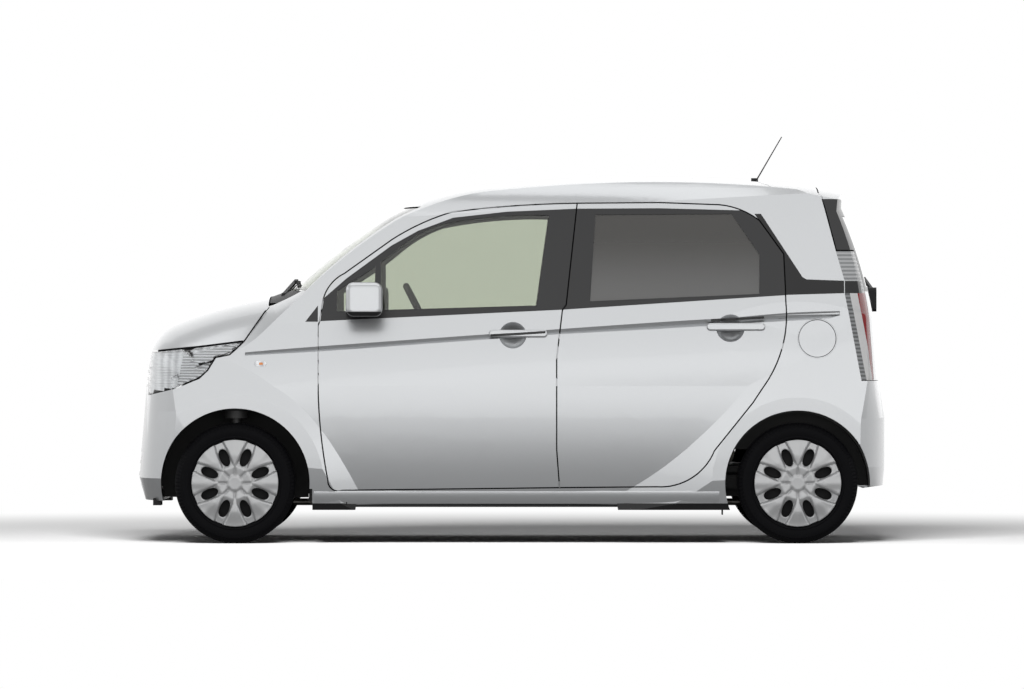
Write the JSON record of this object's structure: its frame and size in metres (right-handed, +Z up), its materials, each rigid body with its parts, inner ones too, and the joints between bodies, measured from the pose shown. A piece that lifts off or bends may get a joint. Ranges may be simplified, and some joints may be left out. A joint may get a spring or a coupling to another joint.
{
  "type": "kei car",
  "caption": "Small five-door hatchback with opening doors, bonnet, tailgate and fuel lid, steered front wheels and rolling wheels.",
  "frame": {"origin": "on the ground, midway between nose and tail and between the sides", "axes": "+X to the rear, +Y to the right of the car, +Z up"},
  "size_m": [3.3942, 1.76, 1.8421],
  "materials": {
    "black_plastic": "grained black",
    "black_steel": "satin black",
    "body_paint": "silver metallic, clear coat",
    "cast": "cast",
    "cast_iron": "raw casting",
    "exhaust_steel": "dull steel",
    "gloss_black": "gloss black",
    "lamp_lens": "clear lens over chrome reflector",
    "red_lens": "red lens",
    "seat_fabric": "woven grey",
    "side_glass": "clear, tinted green",
    "trim_plastic": "grained dark grey",
    "tyre": "matt rubber",
    "wheel_paint": "silver lacquer"
  },
  "bodies": {
    "root": {"antenna": "black_plastic", "cowl": "black_plastic", "dashboard": "trim_plastic", "engine": "cast", "exhaust": "exhaust_steel", "floor_pan": "body_paint", "front_bumper": "body_paint", "front_fender_left": "body_paint", "front_fender_right": "body_paint", "front_seat_left": "seat_fabric", "front_seat_right": "seat_fabric", "front_structure": "black_steel", "front_subframe": "black_steel", "front_wipers": "black_plastic", "fuel_tank": "black_plastic", "grille": "black_plastic", "headlamp_left": "lamp_lens", "headlamp_right": "lamp_lens", "quarter_trim_left": "gloss_black", "quarter_trim_right": "gloss_black", "rear_axle": "black_steel", "rear_bench": "seat_fabric", "rear_bumper": "body_paint", "roof_panel": "body_paint", "side_frame_left": "body_paint", "side_frame_right": "body_paint", "tail_lamp_left": "red_lens", "tail_lamp_right": "red_lens", "windscreen": "side_glass"},
    "bonnet": {"bonnet": "body_paint"},
    "door_front_left": {"door_front_left": "body_paint", "door_glass_front_left": "side_glass", "door_mirror_left": "body_paint"},
    "door_front_right": {"door_front_right": "body_paint", "door_glass_front_right": "side_glass", "door_mirror_right": "body_paint"},
    "door_rear_left": {"door_glass_rear_left": "side_glass", "door_rear_left": "body_paint"},
    "door_rear_right": {"door_glass_rear_right": "side_glass", "door_rear_right": "body_paint"},
    "fuel_lid": {"fuel_lid": "body_paint"},
    "knuckle_left": {"knuckle_left": "cast_iron"},
    "knuckle_right": {"knuckle_right": "cast_iron"},
    "tailgate": {"rear_wiper": "black_plastic", "tailgate": "body_paint", "tailgate_glass": "side_glass"},
    "steering_rack": {"steering_rack": "black_steel"},
    "steering_wheel": {"steering_wheel": "trim_plastic"},
    "wheel_front_left": {"tyre_front_left": "tyre", "wheel_front_left": "wheel_paint"},
    "wheel_front_right": {"tyre_front_right": "tyre", "wheel_front_right": "wheel_paint"},
    "wheel_rear_left": {"tyre_rear_left": "tyre", "wheel_rear_left": "wheel_paint"},
    "wheel_rear_right": {"tyre_rear_right": "tyre", "wheel_rear_right": "wheel_paint"}
  },
  "joints": [
    {"name": "steer_left", "type": "hinge", "parent": "root", "child": "knuckle_left", "pos_m": [-1.2385, -0.56, 0.27], "axis": [0, 0, 1], "range_deg": [-30, 30]},
    {"name": "spin_front_left", "type": "hinge", "parent": "knuckle_left", "child": "wheel_front_left", "pos_m": [-1.2385, -0.648, 0.27], "axis": [0, 1, 0], "continuous": true},
    {"name": "spin_rear_left", "type": "hinge", "parent": "root", "child": "wheel_rear_left", "pos_m": [1.2815, -0.648, 0.27], "axis": [0, 1, 0], "continuous": true},
    {"name": "open_door_front_left", "type": "hinge", "parent": "root", "child": "door_front_left", "pos_m": [-0.862, -0.726, 0.7], "axis": [0, 0, -1], "range_deg": [0, 65]},
    {"name": "open_door_rear_left", "type": "hinge", "parent": "root", "child": "door_rear_left", "pos_m": [0.206, -0.7305, 0.7], "axis": [0, 0, -1], "range_deg": [0, 70]},
    {"name": "steer_right", "type": "hinge", "parent": "root", "child": "knuckle_right", "pos_m": [-1.2385, 0.56, 0.27], "axis": [0, 0, 1], "range_deg": [-30, 30]},
    {"name": "spin_front_right", "type": "hinge", "parent": "knuckle_right", "child": "wheel_front_right", "pos_m": [-1.2385, 0.648, 0.27], "axis": [0, 1, 0], "continuous": true},
    {"name": "spin_rear_right", "type": "hinge", "parent": "root", "child": "wheel_rear_right", "pos_m": [1.2815, 0.648, 0.27], "axis": [0, 1, 0], "continuous": true},
    {"name": "open_door_front_right", "type": "hinge", "parent": "root", "child": "door_front_right", "pos_m": [-0.862, 0.726, 0.7], "axis": [0, 0, 1], "range_deg": [0, 65]},
    {"name": "open_door_rear_right", "type": "hinge", "parent": "root", "child": "door_rear_right", "pos_m": [0.206, 0.7305, 0.7], "axis": [0, 0, 1], "range_deg": [0, 70]},
    {"name": "open_bonnet", "type": "hinge", "parent": "root", "child": "bonnet", "pos_m": [-1.095, 0, 1.113], "axis": [0, 1, 0], "range_deg": [0, 50]},
    {"name": "open_tailgate", "type": "hinge", "parent": "root", "child": "tailgate", "pos_m": [1.385, 0, 1.622], "axis": [0, -1, 0], "range_deg": [0, 85]},
    {"name": "open_fuel_lid", "type": "hinge", "parent": "root", "child": "fuel_lid", "pos_m": [1.288, -0.724, 0.918], "axis": [0, 0, -1], "range_deg": [0, 100]},
    {"name": "turn_steering_wheel", "type": "hinge", "parent": "root", "child": "steering_wheel", "pos_m": [-0.405, 0.33, 1], "axis": [0.891, 0, 0.454], "range_deg": [-480, 480]},
    {"name": "rack_slide", "type": "slide", "parent": "root", "child": "steering_rack", "axis": [0, 1, 0], "range_m": [-0.06, 0.06]}
  ],
  "couplings": [
    {"joint": "steer_right", "follows": "steer_left", "ratio": 1},
    {"joint": "turn_steering_wheel", "follows": "steer_left", "ratio": 16},
    {"joint": "rack_slide", "follows": "steer_left", "m_per_rad": 0.1146}
  ]
}
